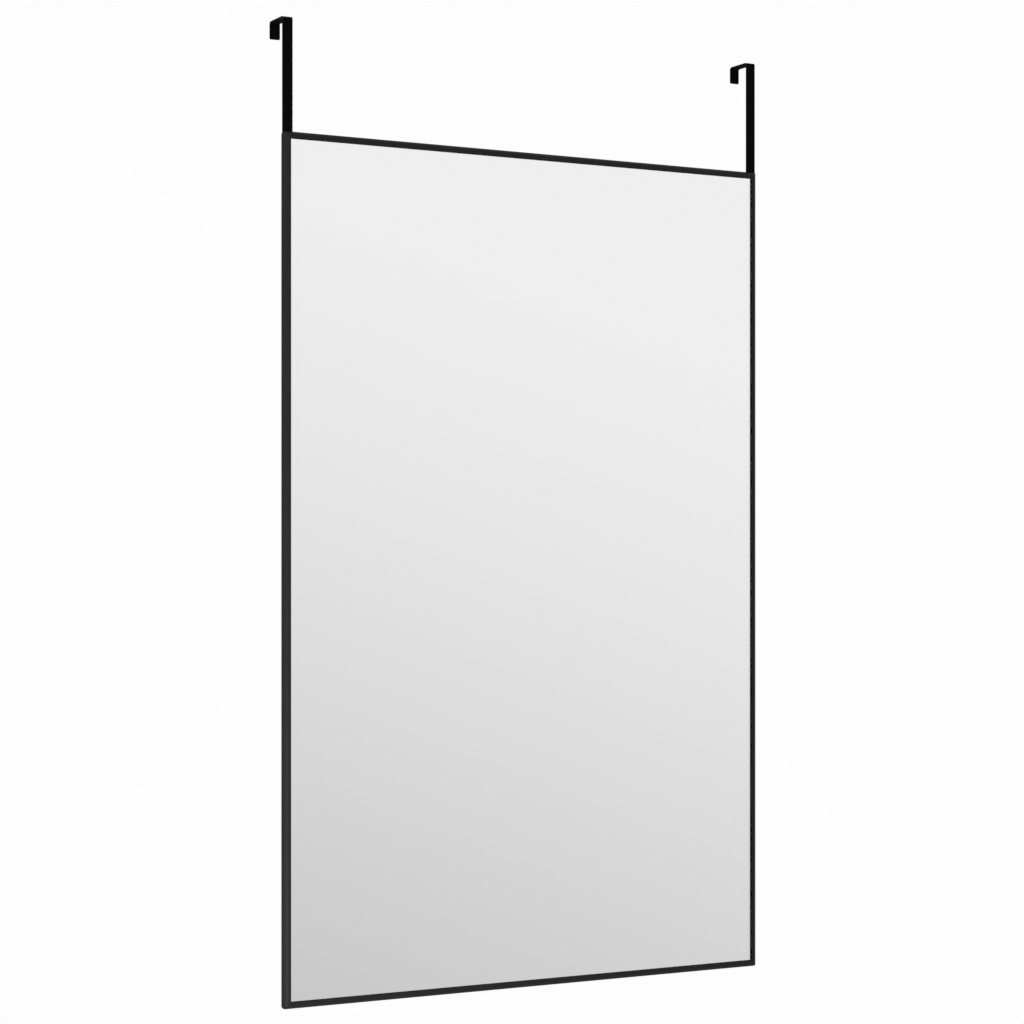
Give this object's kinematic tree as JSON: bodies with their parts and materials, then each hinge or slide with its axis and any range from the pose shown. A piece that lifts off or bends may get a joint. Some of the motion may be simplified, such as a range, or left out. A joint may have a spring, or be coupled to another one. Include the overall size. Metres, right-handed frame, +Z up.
{
  "type": "over the door mirror",
  "caption": "Tall rectangular mirror in a thin black frame, hung over a door's top edge on flat steel hooks that slide for height.",
  "frame": {"origin": "on the door's front top edge: midway between the hooks, in the plane of the door's front face, at the height of the left hook's seat", "axes": "+X to the right as seen from the front, along the door's width. +Y from the mirror's face back to the door and through it. +Z up, along the mirror's height"},
  "size_m": [0.685, 0.047, 1.2061],
  "materials": {
    "frame_black": "satin black coating",
    "hook_black": "satin black powder coat on steel strip",
    "small_screws": "black oxide on steel",
    "zinc_steel": "zinc plated",
    "glass": "clear float glass, polished",
    "silvering": "silvered, painted behind",
    "film": "woven look, matte",
    "foam": "soft foam tape",
    "hardboard": "raw hardboard",
    "rubber_black": "matte",
    "pad_black": "matte, closed-cell"
  },
  "bodies": {
    "mirror_body": {"frame_top": "frame_black", "frame_bottom": "frame_black", "frame_left": "frame_black", "frame_right": "frame_black", "corner_plate_top_left": "zinc_steel", "corner_plate_top_right": "zinc_steel", "corner_plate_bottom_left": "zinc_steel", "corner_plate_bottom_right": "zinc_steel", "frame_screws": "small_screws", "mirror_glass": "glass", "mirror_silvering": "silvering", "safety_film": "film", "foam_strips": "foam", "back_panel": "hardboard", "bumper_top_left": "rubber_black", "bumper_top_right": "rubber_black", "bumper_bottom_left": "rubber_black", "bumper_bottom_right": "rubber_black", "hook_screws_left": "small_screws", "hook_screws_right": "small_screws"},
    "left_hook": {"hook_left": "hook_black", "hook_pad_left": "pad_black"},
    "right_hook": {"hook_right": "hook_black", "hook_pad_right": "pad_black"}
  },
  "joints": [
    {"name": "left_hook_height", "type": "slide", "parent": "mirror_body", "child": "left_hook", "axis": [0, 0, 1], "range_m": [-0.0167, 0.0213]},
    {"name": "right_hook_height", "type": "slide", "parent": "mirror_body", "child": "right_hook", "axis": [0, 0, 1], "range_m": [-0.0241, 0.0139]}
  ]
}
